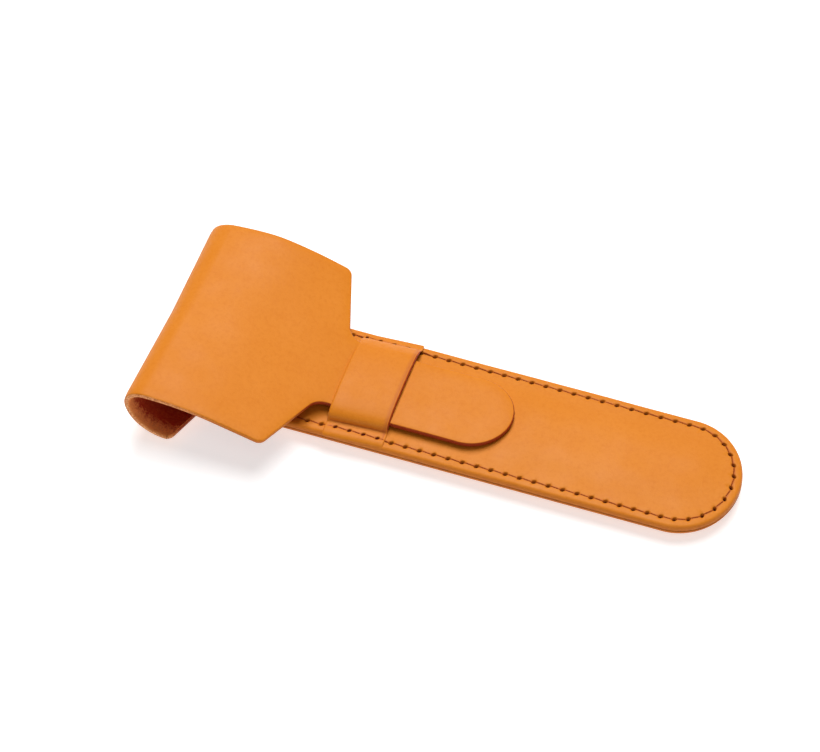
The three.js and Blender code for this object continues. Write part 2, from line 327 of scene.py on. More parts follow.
def slit_axes(holes, seam):
    """Each slit's long direction, at the same slant to the seam all the way round."""
    nearest = np.argmin(np.linalg.norm(holes[:, None] - seam[None], axis=2), axis=1)
    along = np.gradient(seam, axis=0)[nearest]
    angle = np.arctan2(along[:, 1], along[:, 0]) + HOLE_SLANT
    return np.stack([np.cos(angle), np.sin(angle)], 1)


def hole_points(holes, axes):
    """Rings of points that give each slit its wall."""
    turns = np.linspace(0, 2 * math.pi, 14, endpoint=False)
    rings = [holes]
    for size in (0.45, 0.8, 1.1, 1.45):
        for turn in turns:
            long, short = size * HOLE_LENGTH * math.cos(turn), size * HOLE_WIDTH * math.sin(turn)
            rings.append(holes + axes * long + axes[:, ::-1] * (-short, short))
    return np.concatenate(rings)


def slit_reach(points, holes, axes):
    """How far each point is out of its nearest slit: 1 at the rim."""
    nearest = np.argmin(np.linalg.norm(points[:, None] - holes[None], axis=2), axis=1)
    away, axis = points - holes[nearest], axes[nearest]
    long = np.sum(away * axis, 1) / HOLE_LENGTH
    short = (away[:, 1] * axis[:, 0] - away[:, 0] * axis[:, 1]) / HOLE_WIDTH
    return np.hypot(long, short)


def sheet_mesh(name, free, place, low, high, cut=(), grid=1.5, edge=0.5, seam=None, holes=None,
               bevel=0.0, edge_shade=None, raw_edge=None, flush_at=None, crease_shade=None):
    """A leather sheet over a flat outline.

    free is the outline's open edge, in order; cut holds the points that close it where the next
    piece carries on. place(a, b, n) puts a point of the flat, at a height n above the middle layer,
    into space. low(a, b) and high(a, b) are the heights of the flesh and grain faces.
    """
    closed = len(cut) == 0
    area = np.concatenate([free, cut]) if not closed else free
    left = normals(free, closed)
    probe = free[len(free) // 3] + left[len(free) // 3] * 0.05
    inward = left if inside(probe[None], area)[0] else -left
    if not closed:
        inward[0] = inward[-1] = (0, 0)
        inward[0, 1] = -np.sign(free[0, 1])
        inward[-1, 1] = -np.sign(free[-1, 1])

    flush = flush_at(free[:, 0])[:, None] if flush_at else np.zeros((len(free), 1))
    rings, levels = [], []
    for share in np.linspace(0, 1, EDGE_STEPS):
        whole = math.pi * (0.5 - share)
        upper = math.pi / 2 * max(0.0, 1 - share / 0.8)
        inset = (1 - flush) * edge * (1 - math.cos(whole)) + flush * 1.1 * (1 - math.cos(upper))
        flush_level = -0.6 + 1.6 * math.sin(upper) - 0.4 * max(0.0, share * 5 - 4)
        level = (1 - flush) * math.sin(whole) + flush * flush_level
        rings.append(free + inward * inset)
        levels.append(level[:, 0])
    border = rings[0] if closed else np.concatenate([rings[0], cut])

    lo, hi = area.min(0), area.max(0)
    aa, bb = np.meshgrid(np.arange(lo[0], hi[0], grid), np.arange(lo[1], hi[1], grid), indexing="ij")
    aa = aa + np.where(np.arange(aa.shape[1]) % 2, grid / 2, 0)[None, :]
    extra = np.stack([aa.ravel(), bb.ravel()], 1)
    if seam is not None:
        left_of_seam = normals(seam, False)
        rows = np.concatenate([seam + left_of_seam * off for off in (-0.95, -0.5, 0, 0.5, 0.95)])
        extra = extra[distance_to(extra, seam) > 1.3]
        axes = slit_axes(holes, seam)
        rows = rows[slit_reach(rows, holes, axes) > 1.75]
        extra = np.concatenate([extra, rows, hole_points(holes, axes)])
    band = border if closed else rings[0]
    keep = inside(extra, border) & (distance_to(extra, band, closed) > 0.3)
    if not closed:
        keep &= distance_to(extra, np.array([border[-1 - len(cut)], *cut, border[0]])) > 0.3
    points, faces, order = triangulate(border, extra[keep])

    a, b = points.T
    top, bottom = high(a, b), low(a, b)
    pit = np.zeros(len(points))
    groove_shade = np.zeros(len(points))
    if bevel:
        top = top - bevel * smooth(1 - (distance_to(points, free, closed) - edge) / 1.7)
    if seam is not None:
        pit = 1 - smooth((slit_reach(points, holes, axes) - 0.8) / 0.4)
        # the seam's groove: the surface dips along it, and the colour gets painted shade there
        groove_shade = np.exp(-(distance_to(points, seam) / 0.45) ** 2)
        top = top - 0.09 * groove_shade - np.minimum(HOLE_DEPTH, 0.7 * (top - bottom)) * pit
    # painted shade along a crease, such as the keeper's fold
    if crease_shade:
        groove_shade = np.maximum(groove_shade, crease_shade(b))

    where = {o: i for i, o in enumerate(order) if o >= 0}
    first = [where[i] for i in range(len(free))]
    count = len(points)
    co = [place(a, b, top), place(a, b, bottom)]
    flat = [points, points, *rings[1:-1]]
    rim = [np.zeros(count), np.zeros(count)]
    flesh = [np.zeros(count), np.ones(count)]
    t0, b0 = top[first], bottom[first]
    for ring, level in zip(rings[1:-1], levels[1:-1]):
        height = (t0 + b0) / 2 + (t0 - b0) / 2 * level
        co.append(place(ring[:, 0], ring[:, 1], height))
        rim.append(smooth(1.25 - np.where(level > 0, level, -level * (1 - flush[:, 0]))))
        flesh.append(0.5 - 0.5 * level * np.where(level > 0, 1, 1 - flush[:, 0]))

    tris = [tuple(f) for f in faces]
    polys = list(tris) + [tuple(i + count for i in reversed(f)) for f in tris]
    size = len(free)
    ring_ids = [first]
    for k in range(EDGE_STEPS - 2):
        start = 2 * count + k * size
        ring_ids.append(list(range(start, start + size)))
    ring_ids.append([i + count for i in first])
    last = size if closed else size - 1
    flipped = np.cross(free[1] - free[0], inward[1]) < 0
    for upper, lower in zip(ring_ids[:-1], ring_ids[1:]):
        for i in range(last):
            j = (i + 1) % size
            quad = (upper[i], lower[i], lower[j], upper[j])
            polys.append(quad[::-1] if flipped else quad)

    centre = points.mean(0)
    at = [place(np.array([centre[0] + da]), np.array([centre[1] + db]), np.array([dn]))[0]
          for da, db, dn in ((0, 0, 0), (0.01, 0, 0), (0, 0.01, 0), (0, 0, 0.01))]
    if np.dot(np.cross(at[1] - at[0], at[2] - at[0]), at[3] - at[0]) < 0:
        polys = [p[::-1] for p in polys]
    # painted light with paler fuzz on the flesh side near its cut edges
    lip_light = smooth(1 - (FLAP_HALF - np.abs(b)) / LIP)
    rest = np.zeros(sum(len(c) for c in co) - count)
    extras = {
        "lip_light": np.concatenate([lip_light, lip_light, np.ones(sum(len(c) for c in co[2:]))]),
        "rim": np.concatenate(rim),
        "flesh": np.concatenate(flesh),
        "edge_shade": np.concatenate([edge_shade(*c.T) if edge_shade else np.zeros(len(c)) for c in flat]),
        "raw_edge": np.concatenate([raw_edge(*c.T) if raw_edge else np.zeros(len(c)) for c in flat]),
        "pit": np.concatenate([pit, rest]),
        "groove_shade": np.concatenate([groove_shade, rest]),
    }
    return make_mesh(name, np.concatenate(co), polys, extras)


def make_mesh(name, points, polys, extras=None, material=None):
    """A smooth-shaded object from points in millimetres."""
    mesh = bpy.data.meshes.new(name)
    mesh.from_pydata([tuple(p) for p in points * MM], [], polys)
    mesh.validate()
    mesh.shade_smooth()
    for key, values in (extras or {}).items():
        attribute = mesh.attributes.new(key, "FLOAT", "POINT")
        attribute.data.foreach_set("value", values.astype(np.float32))
    obj = bpy.data.objects.new(name, mesh)
    bpy.context.scene.collection.objects.link(obj)
    if material:
        mesh.materials.append(material)
    return obj


# ---- places in space -----------------------------------------------------------------------------


def skew_at(s, y):
    """How far the folded hide leans along X at its sides."""
    roll = ROLL_END - ROLL_START
    near_turn = smooth((s - ROLL_START) / roll)
    far_turn = smooth((s - ROLL_START - 0.6 * roll) / (0.9 * roll))
    return FLAP_SKEW * (y / FLAP_HALF) * np.where(y < 0, near_turn, far_turn)


def border(index, y):
    """Distance along the hide of a joint's line at each y, kept square to the hide in space."""
    heading = math.radians(HINGE_TURN * index)
    s = distance_at_heading(HINGE_TURN * index)
    return s + math.cos(heading) * skew_at(s, y)


def on_hide(s, y, n):
    """A point of the long hide: distance s, across y, height n towards the grain side."""
    x, z, heading = hide_at(s)
    px = x - n * np.sin(heading)
    pz = z - n * np.cos(heading)
    lower = s < ROLL_START
    fade = smooth((px - DISH_X[0]) / (DISH_X[1] - DISH_X[0]))
    pz = pz - np.where(lower, RIM_BOTTOM * bulge(px, y) * fade, 0)

    tongue = smooth((s - distance_at_x(UPPER_CORNER_X + 4, True)) / 22)
    px = px + skew_at(s, y) * (1 - tongue) + TONGUE_REACH * tongue
    py = y + TONGUE_SHIFT * tongue
    crest = smooth((s - ROLL_END + 6) / 20) * (1 - smooth((s - ROLL_END - 22) / 22))
    pz = pz - TONGUE_SAG * tongue * (y / TONGUE_HALF) ** 2
    pz = pz + CREST_LIFT * crest * np.clip(y / FLAP_HALF, 0, 1) ** 2
    return np.stack([px, py, pz], 1)


def on_front(x, y, n):
    """A point of the front panel."""
    middle = (RIM_TOP + RIM_JOIN) / 2
    past = np.maximum(0, x - END_X) / END_LENGTH
    crown = smooth((1 - np.hypot(past, y / SLEEVE_HALF) - 0.12) / 0.68)
    towards_end = 1 - 0.45 * smooth((x - TONGUE_TIP_X) / (END_X - TONGUE_TIP_X))
    return np.stack([x, y, middle + n + PANEL_RISE * crown * towards_end], 1)


# ---- materials -----------------------------------------------------------------------------------


class Nodes:
    """A short way to write a node tree."""

    def __init__(self, name):
        self.material = bpy.data.materials.new(name)
        self.material.use_nodes = True
        self.tree = self.material.node_tree
        self.tree.nodes.clear()
        self.shader = self.add("ShaderNodeBsdfPrincipled")
        output = self.add("ShaderNodeOutputMaterial")
        self.join(self.shader.outputs["BSDF"], output.inputs["Surface"])

    def add(self, kind, **settings):
        node = self.tree.nodes.new(kind)
        for key, value in settings.items():
            setattr(node, key, value)
        return node

    def join(self, start, end):
        self.tree.links.new(start, end)

    def feed(self, socket, value):
        if isinstance(value, bpy.types.NodeSocket):
            self.join(value, socket)
        else:
            socket.default_value = value

    def place(self):
        return self.add("ShaderNodeTexCoord").outputs["Object"]

    def noise(self, scale, detail=3.0, roughness=0.5, stretch=None):
        node = self.add("ShaderNodeTexNoise")
        where = self.place()
        if stretch:
            mapping = self.add("ShaderNodeMapping")
            mapping.inputs["Scale"].default_value = stretch
            self.join(where, mapping.inputs["Vector"])
            where = mapping.outputs["Vector"]
        self.join(where, node.inputs["Vector"])
        node.inputs["Scale"].default_value = scale
        node.inputs["Detail"].default_value = detail
        node.inputs["Roughness"].default_value = roughness
        return node.outputs["Fac"]

    def cells(self, scale):
        node = self.add("ShaderNodeTexVoronoi", feature="DISTANCE_TO_EDGE")
        self.join(self.place(), node.inputs["Vector"])
        node.inputs["Scale"].default_value = scale
        return node.outputs["Distance"]

    def attribute(self, name):
        return self.add("ShaderNodeAttribute", attribute_name=name).outputs["Fac"]

    def math(self, operation, a, b=0.0):
        node = self.add("ShaderNodeMath", operation=operation)
        self.feed(node.inputs[0], a)
        self.feed(node.inputs[1], b)
        return node.outputs[0]

    def ranged(self, value, low, high, to_low=0.0, to_high=1.0):
        node = self.add("ShaderNodeMapRange")
        self.feed(node.inputs["Value"], value)
        node.inputs["From Min"].default_value = low
        node.inputs["From Max"].default_value = high
        node.inputs["To Min"].default_value = to_low
        node.inputs["To Max"].default_value = to_high
        return node.outputs["Result"]

    def mix(self, factor, a, b):
        node = self.add("ShaderNodeMix", data_type="RGBA")
        self.feed(node.inputs["Factor"], factor)
        colours = [i for i in node.inputs if i.type == "RGBA"]
        for socket, value in zip(colours, (a, b)):
            self.feed(socket, value if isinstance(value, bpy.types.NodeSocket) else (*value, 1.0))
        return [o for o in node.outputs if o.type == "RGBA"][0]

    def bump(self, height, strength, distance, normal=None):
        node = self.add("ShaderNodeBump")
        node.inputs["Strength"].default_value = strength
        node.inputs["Distance"].default_value = distance
        self.join(height, node.inputs["Height"])
        if normal:
            self.join(normal, node.inputs["Normal"])
        return node.outputs["Normal"]


GRAIN = (0.600, 0.180, 0.0090)
GRAIN_PALE = (0.645, 0.210, 0.0190)
GRAIN_DEEP = (0.540, 0.138, 0.0030)
EDGE_TOP = (0.560, 0.165, 0.016)
EDGE_LOW = (0.420, 0.092, 0.022)
# painted shade: the colour of cut edges that lie in shadow
EDGE_SHADE = (0.260, 0.022, 0.003)
EDGE_RAW = (0.950, 0.460, 0.190)
EDGE_RAW_DEEP = (0.480, 0.130, 0.030)
SUEDE = (0.330, 0.016, 0.003)
SUEDE_PALE = (0.440, 0.070, 0.014)
# painted light with paler fuzz: the flesh side's colour next to a cut edge
SUEDE_LIT = (0.850, 0.290, 0.080)
# painted shade: the dark red-brown inside the stitch slits
PIT_SHADE = (0.060, 0.004, 0.001)
THREAD = (0.360, 0.070, 0.006)


def leather():
    """Smooth vegetable-tanned leather: grain, burnished edge and raw flesh side by mesh attributes, with
    painted shade on shaded cut edges, along the seam, the keeper's fold and in the slits, and painted
    light on the flesh side near its cut edges.
    """
    n = Nodes("tan_leather")
    rim, flesh, dark = n.attribute("rim"), n.attribute("flesh"), n.attribute("edge_shade")
    pit, groove_shade = n.attribute("pit"), n.attribute("groove_shade")

    clouds = n.noise(38.0, 4.0, 0.6)
    fibres = n.noise(210.0, 3.0, 0.6, stretch=(0.5, 1.6, 1.0))
    specks = n.noise(900.0, 3.0, 0.7)
    colour = n.mix(n.ranged(clouds, 0.35, 0.68, 0.2, 0.8), GRAIN, GRAIN_PALE)
    colour = n.mix(n.ranged(fibres, 0.5, 0.85, 0.0, 0.15), colour, GRAIN_DEEP)
    colour = n.mix(n.ranged(specks, 0.45, 0.75, 0.0, 0.45), colour, GRAIN_DEEP)
    # painted shade along the seam groove and the keeper's fold
    colour = n.mix(n.ranged(groove_shade, 0.3, 1.0, 0.0, 0.7), colour, EDGE_LOW)

    fuzz = n.noise(1500.0, 4.0, 0.7)
    suede = n.mix(n.ranged(fuzz, 0.38, 0.75), SUEDE, SUEDE_PALE)
    # painted light: the flesh side lightens near cut edges, where light reaches into the roll, and its
    # fuzz is paler there
    lip_light = n.math("ADD", n.attribute("lip_light"), n.ranged(fuzz, 0.35, 0.75, -0.35, 0.25))
    suede = n.mix(n.ranged(lip_light, 0.15, 0.8, 0.0, 0.95), suede, SUEDE_LIT)
    colour = n.mix(n.ranged(flesh, 0.55, 0.95), colour, suede)
    lower = n.math("ADD", flesh, n.ranged(n.noise(420.0, 3.0, 0.6), 0.3, 0.7, -0.12, 0.12))
    burnish_and_shade = n.mix(n.ranged(lower, 0.45, 0.8), EDGE_TOP, EDGE_LOW)
    # painted shade: edges marked as shaded turn dark red-brown towards their lower side
    burnish_and_shade = n.mix(n.math("MULTIPLY", dark, n.ranged(lower, -0.15, 0.08)), burnish_and_shade, EDGE_SHADE)
    raw = n.mix(n.ranged(fuzz, 0.4, 0.62), EDGE_RAW_DEEP, EDGE_RAW)
    burnish_and_shade = n.mix(n.attribute("raw_edge"), burnish_and_shade, raw)
    # edges with painted shade take the edge colour over a wider band
    edge = n.math("MULTIPLY", rim, n.math("ADD", dark, 1.0))
    colour = n.mix(n.ranged(edge, 0.25, 0.85, 0.0, 0.95), colour, burnish_and_shade)
    # painted shade inside the stitch slits
    colour = n.mix(pit, colour, PIT_SHADE)
    n.join(colour, n.shader.inputs["Base Color"])

    rough = n.ranged(n.noise(120.0, 3.0, 0.5), 0.3, 0.7, 0.42, 0.54)
    rough = n.math("MAXIMUM", rough, n.ranged(flesh, 0.5, 0.95, 0.0, 0.95))
    rough = n.math("MAXIMUM", rough, n.ranged(pit, 0.0, 0.5, 0.0, 1.0))
    n.join(rough, n.shader.inputs["Roughness"])
    n.shader.inputs["Specular IOR Level"].default_value = 0.13

    pores = n.ranged(n.cells(1400.0), 0.0, 0.28)
    normal = n.bump(pores, 0.16, 0.00006)
    normal = n.bump(n.noise(600.0, 4.0, 0.65), 0.22, 0.00012, normal)
    raw_rim = n.math("MULTIPLY", n.attribute("raw_edge"), rim)
    rough_parts = n.math("MAXIMUM", n.ranged(flesh, 0.5, 0.95), raw_rim)
    nap = n.math("MULTIPLY", n.noise(2300.0, 4.0, 0.8), rough_parts)
    normal = n.bump(nap, 0.8, 0.00035, normal)
    n.join(normal, n.shader.inputs["Normal"])
    return n.material


def thread():
    """Waxed thread, twisted."""
    n = Nodes("seam_thread")
    wave = n.add("ShaderNodeTexWave", wave_type="BANDS", bands_direction="DIAGONAL")
    n.join(n.place(), wave.inputs["Vector"])
    wave.inputs["Scale"].default_value = 900.0
    wave.inputs["Distortion"].default_value = 1.5
    twist = wave.outputs["Fac"]
    colour = n.mix(n.ranged(twist, 0.2, 0.8), THREAD, tuple(0.7 * c for c in THREAD))
    n.join(colour, n.shader.inputs["Base Color"])
    n.shader.inputs["Roughness"].default_value = 0.7
    n.shader.inputs["Specular IOR Level"].default_value = 0.1
    n.join(n.bump(twist, 0.6, 0.0001), n.shader.inputs["Normal"])
    return n.material


LEATHER = leather()
THREAD_MATERIAL = thread()

# ---- the seam ------------------------------------------------------------------------------------


def seam_line(step=0.8):
    """The stitched line on the front panel, from the far side of the mouth round to the near side."""
    start_x = MOUTH_X + 2
    far = resample(np.array([[start_x, SEAM_Y], [END_X, SEAM_Y]]), step)
    bend = arc((END_X, 0), (SEAM_END_LENGTH, SEAM_Y), math.pi / 2, -math.pi / 2, step)
    near = resample(np.array([[END_X, -SEAM_Y], [start_x, -SEAM_Y]]), step)
    return np.concatenate([far[:-1], bend, near[1:]])


def stitch_holes(line):
    """Holes at the stitch pitch along the seam."""
    run = np.concatenate([[0], np.cumsum(np.linalg.norm(np.diff(line, axis=0), axis=1))])
    first = (SEAM_LAST_X - line[0, 0]) % STITCH_PITCH
    at = np.arange(first, run[-1] - 0.5, STITCH_PITCH)
    at = at + sum(ahead * np.exp(-((at - where) / length) ** 2)
                  for ahead, where, length in STITCH_DRIFTS)
    ahead, where, length = STITCH_LEAD
    at = at + ahead * smooth((at - where) / length)
    return np.stack([np.interp(at, run, line[:, 0]), np.interp(at, run, line[:, 1])], 1)


SEAM = seam_line()
HOLES = stitch_holes(SEAM)


def stitches(name, heights, sink, stand, up):
    """Thread from slit to slit: each stitch dips into the near ends of both."""
    around, along = 8, 10
    points, polys = [], []
    turns = np.linspace(0, 2 * math.pi, around, endpoint=False)
    reach = slit_axes(HOLES, SEAM) * 0.5 * HOLE_LENGTH
    starts = np.column_stack([HOLES + reach, heights])[:-1]
    stops = np.column_stack([HOLES - reach, heights])[1:]
    for start, stop in zip(starts, stops):
        direction = (stop - start) / np.linalg.norm(stop - start)
        aside = np.cross(direction, (0, 0, up))
        aside /= np.linalg.norm(aside)
        base = len(points)
        for k in range(along + 1):
            t = k / along
            lift = stand - (stand + sink) * abs(2 * t - 1) ** 5
            middle = start + (stop - start) * t + np.array([0, 0, up * lift])
            width = THREAD_RADIUS * (1.15 - 0.25 * abs(2 * t - 1) ** 3)
            for turn in turns:
                points.append(middle + aside * width * math.cos(turn)
                              + np.array([0, 0, up * THREAD_RADIUS * 0.8 * math.sin(turn)]))
        for k in range(along):
            for i in range(around):
                j = (i + 1) % around
                a = base + k * around
                polys.append((a + i, a + j, a + around + j, a + around + i))
        polys.append(tuple(base + i for i in reversed(range(around))))
        polys.append(tuple(base + along * around + i for i in range(around)))
    return make_mesh(name, np.array(points), polys, material=THREAD_MATERIAL)


# ---- pieces --------------------------------------------------------------------------------------


def flat_height(value):
    return lambda a, b: np.full(len(a), float(value))


def front_leather():
    end = round_end(TIP_X, END_LENGTH, SLEEVE_HALF)
    side = resample(np.array([[MOUTH_X, SLEEVE_HALF], [END_X, SLEEVE_HALF]]), 1.2)
    half = np.concatenate([side, end[1:]])
    loop = mirrored(half)
    mouth = resample(np.array([loop[-1], loop[0]]), 1.2)[1:-1]
    loop = np.concatenate([loop, mouth])
    thick = RIM_TOP - RIM_JOIN

    def high(x, y):
        return thick / 2 + waver(x, y, 0.05)

    return sheet_mesh("front_leather", loop, on_front, flat_height(-thick / 2), high,
                      seam=SEAM, holes=HOLES, bevel=SEWN_BEVEL, flush_at=np.ones_like)


def hide_side(points, upper):
    """A side of the hide in the flat: distance along it and half-width."""
    s = distance_at_x(points[:, 0], upper)
    return np.stack([s, points[:, 1]], 1)


def cut_line(index):
    """Points across the hide on a joint's line, from the near side to the far side, without its ends."""
    y = np.linspace(-FLAP_HALF, FLAP_HALF, CUT_STEPS + 1)[1:-1]
    return np.stack([border(index, y), y], 1)


def back_leather():
    sides = np.concatenate([round_end(TIP_X, END_LENGTH, SLEEVE_HALF)[::-1],
                            shoulder(LOWER_CORNER_X, SLEEVE_HALF)[::-1]])
    flat = hide_side(sides, False)
    flat = np.concatenate([flat, [[ROLL_START, FLAP_HALF]]]) if flat[-1, 0] < ROLL_START else flat
    flat = flat[flat[:, 0] <= ROLL_START + 1e-6]
    half = resample(flat[::-1], 1.2)
    free = mirrored(half)
    seam = np.stack([TIP_X - SEAM[:, 0], SEAM[:, 1]], 1)
    holes = np.stack([TIP_X - HOLES[:, 0], HOLES[:, 1]], 1)

    def inner(s, y):
        return np.full(len(s), -HIDE / 2 - 0.15 * (1 - smooth((s - 128) / 12)))

    def sewn(s):
        return 1 - smooth((s - TIP_X + MOUTH_X) / 4)

    def outer(y):
        return smooth((np.abs(y) - FLAP_HALF + 4) / 3)

    def shaded_wing(s, y):
        # painted shade on the back's shoulder edges, between the sleeve's width and the flap's full
        # width
        wing = smooth((np.abs(y) - SLEEVE_HALF - 0.5) / 2)
        return 0.8 * wing * (1 - outer(y))

    def raw_wing(s, y):
        return smooth((s - ROLL_START + 8) / 8) * outer(y)

    return sheet_mesh("back_leather", free, on_hide, inner, flat_height(HIDE / 2),
                      cut=cut_line(0), seam=seam, holes=holes, bevel=SEWN_BEVEL, flush_at=sewn,
                      edge_shade=shaded_wing, raw_edge=raw_wing)


def flap_leather():
    sides = np.concatenate([shoulder(UPPER_CORNER_X, TONGUE_HALF),
                            round_end(TONGUE_TIP_X, TONGUE_HALF, TONGUE_HALF)])
    flat = hide_side(sides, True)
    far, near = ([border(ROLL_PIECES, y), y] for y in (FLAP_HALF, -FLAP_HALF))
    free = mirrored(np.concatenate([[[ROLL_END + 3, FLAP_HALF]], flat]))
    free = resample(np.concatenate([[far], free, [near]]), 1.1)
    neck = distance_at_x(UPPER_CORNER_X + 2, True)

    def high(s, y):
        return HIDE / 2 + waver(s, y, 0.04) * smooth((s - ROLL_END - 2) / 10)

    def shaded_tongue(s, y):
        # painted shade on the cut edge from just past the neck round to the tongue's tip
        return smooth((s - neck) / 5)

    def raw_sides(s, y):
        return 1 - smooth((s - ROLL_END) / 24)

    return sheet_mesh("flap_leather", free, on_hide, flat_height(-HIDE / 2), high,
                      cut=cut_line(ROLL_PIECES), bevel=FLAP_BEVEL, edge_shade=shaded_tongue,
                      raw_edge=raw_sides)


def roll_leather(index):
    """One stretch of the roll, open towards its neighbours, between the lines of two joints."""
    s0, s1 = distance_at_heading(HINGE_TURN * index), distance_at_heading(HINGE_TURN * (index + 1))
    rows = max(6, int((s1 - s0) / 0.4))
    y = np.linspace(-1, 1, CUT_STEPS + 1) * (FLAP_HALF - 0.5)
    angles = np.linspace(math.pi / 2, -math.pi / 2, EDGE_STEPS)[1:-1]
    across, height, rim, flesh = list(y), [HIDE / 2] * len(y), [0] * len(y), [0] * len(y)

    def corner(side, order):
        for angle in order:
            across.append(side * (FLAP_HALF - 0.5 + 0.5 * math.cos(angle)))
            height.append(HIDE / 2 * math.sin(angle))
            rim.append(smooth(1.25 - abs(math.sin(angle))))
            flesh.append(0.5 - 0.5 * math.sin(angle))

    corner(1, angles)
    across += list(y[::-1])
    height += [-HIDE / 2] * len(y)
    rim += [0] * len(y)
    flesh += [1] * len(y)
    corner(-1, angles[::-1])
    across, height = np.array(across), np.array(height)
    bevel = FLAP_BEVEL * smooth(1 - (FLAP_HALF - np.abs(across) - 0.5) / 1.7)
    height = np.where(height > 0, height * (1 - bevel / (HIDE / 2)), height)

    size = len(across)
    first, last = border(index, across), border(index + 1, across)
    points = np.concatenate([on_hide(first + (last - first) * share, across, height)
                             for share in np.linspace(0, 1, rows + 1)])
    polys = []
    for row in range(rows):
        for i in range(size):
            j = (i + 1) % size
            a = row * size
            polys.append((a + i, a + j, a + size + j, a + size + i))
    extras = {"rim": np.tile(rim, rows + 1), "flesh": np.tile(flesh, rows + 1)}
    for key in ("pit", "groove_shade", "edge_shade"):
        extras[key] = np.zeros(len(points))
    extras["raw_edge"] = np.ones(len(points))
    # painted light with paler fuzz on the flesh side near the cut edges
    extras["lip_light"] = np.tile(smooth(1 - (FLAP_HALF - np.abs(across)) / LIP), rows + 1)
    return make_mesh(f"roll_leather_{index + 1}", points, polys, extras), (s0, s1)


def blurred(y, z, width):
    """The same line with its corners rounded."""
    pad = 3 * width
    kernel = np.exp(-(np.arange(-pad, pad + 1) / width) ** 2 / 2)
    kernel /= kernel.sum()
    out = []
    for values in (y, z):
        before = 2 * values[0] - values[pad:0:-1]
        after = 2 * values[-1] - values[-2:-pad - 2:-1]
        padded = np.concatenate([before, values, after])
        out.append(np.convolve(padded, kernel, "valid"))
    return np.array(out)


def keeper_line():
    """The keeper's middle layer across the case: y, z and distance from its middle."""
    base = RIM_TOP + 0.02 + KEEPER_FLANGE / 2
    sides = []
    for half, power, droop in ((KEEPER_ARCH_HALF, KEEPER_ARCH_POWER, KEEPER_NEAR_DROOP),
                               (KEEPER_FAR_HALF, KEEPER_FAR_POWER, KEEPER_FAR_DROOP)):
        y = half * np.sin(np.linspace(0, 1, 400) * math.pi / 2)
        z = base + KEEPER_ARCH_RISE * (1 - (y / half) ** power) ** (1 / power)
        flat_y = SLEEVE_HALF - RIM_ROUND
        turn = np.linspace(0, math.radians(droop), 60)[1:]
        y = np.concatenate([y, np.linspace(half, flat_y, 60)[1:],
                            flat_y + (RIM_ROUND + KEEPER_FLANGE / 2) * np.sin(turn)])
        fall = (RIM_DROP + KEEPER_FLANGE / 2) * (1 - np.cos(turn))
        sides.append((y, np.concatenate([z, np.full(59, base), base - fall])))
    (near_y, near_z), (far_y, far_z) = sides
    y, z = np.concatenate([-near_y[:0:-1], far_y]), np.concatenate([near_z[:0:-1], far_z])
    run = np.concatenate([[0], np.cumsum(np.hypot(np.diff(y), np.diff(z)))])
    even = np.linspace(0, run[-1], 1200)
    y, z = np.interp(even, run, y), np.interp(even, run, z)
    crisp, soft = blurred(y, z, 9), blurred(y, z, 26)
    share = smooth((y + 4) / 8)
    y, z = crisp + (soft - crisp) * share
    run = np.concatenate([[0], np.cumsum(np.hypot(np.diff(y), np.diff(z)))])
    return y, z, run - np.interp(0, y, run)


KEEPER_Y, KEEPER_Z, KEEPER_RUN = keeper_line()


def askew(x):
    """How far the keeper leans across the case at x."""
    return KEEPER_SKEW * (x - (KEEPER_LOW[0] + KEEPER_HIGH[0]) / 2)


def on_keeper(x, b, n):
    """A point of the keeper: x along the case, b along the strap from its middle."""
    y, z = np.interp(b, KEEPER_RUN, KEEPER_Y), np.interp(b, KEEPER_RUN, KEEPER_Z)
    slope = np.interp(b, KEEPER_RUN, np.gradient(KEEPER_Z, KEEPER_RUN))
    across = np.interp(b, KEEPER_RUN, np.gradient(KEEPER_Y, KEEPER_RUN))
    return np.stack([x, y - slope * n + askew(x), z + across * n], 1)


